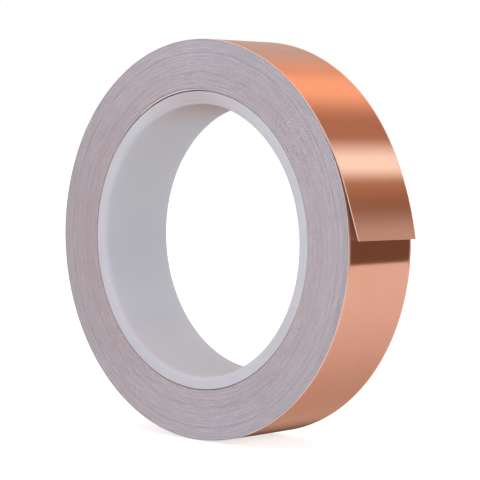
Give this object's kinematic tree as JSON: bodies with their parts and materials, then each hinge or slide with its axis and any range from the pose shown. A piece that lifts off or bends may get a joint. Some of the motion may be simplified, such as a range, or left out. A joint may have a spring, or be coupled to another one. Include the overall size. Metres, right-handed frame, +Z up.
{
  "type": "copper foil tape roll",
  "caption": "Roll of adhesive-backed copper foil tape for stained glass, wound on a plastic core, with its free end lifted off the roll.",
  "frame": {"origin": "centre of the core's bore, halfway along it", "axes": "+Y along the bore, away from the front face; +Z up; +X to the right as the front face is seen, where the free end leaves the roll"},
  "size_m": [0.1151, 0.0254, 0.1123],
  "materials": {
    "core_plastic": "milky white translucent moulded plastic, satin gloss",
    "copper_foil": "bright rolled copper foil, mirror-like, with fine marks along the strip",
    "adhesive": "clear acrylic pressure-sensitive adhesive film",
    "release_liner": "smooth silicone-coated release paper",
    "wound_edges": "slit edges of copper foil and paper liner, turn on turn"
  },
  "bodies": {
    "roll": {"core": "core_plastic", "starter_tab": "adhesive", "inner_turn_foil": "copper_foil", "inner_turn_adhesive": "adhesive", "inner_turn_liner": "release_liner", "wound_turns": "wound_edges", "outer_turn_foil": "copper_foil", "outer_turn_adhesive": "adhesive", "outer_turn_liner": "release_liner"},
    "free_end": {"free_end_foil": "copper_foil", "free_end_adhesive": "adhesive", "free_end_liner": "release_liner"}
  },
  "joints": [
    {"name": "free_end_peel", "type": "hinge", "parent": "roll", "child": "free_end", "pos_m": [0.05162, 0, 0.02298], "axis": [0, -1, 0], "range_deg": [0, 110]}
  ]
}
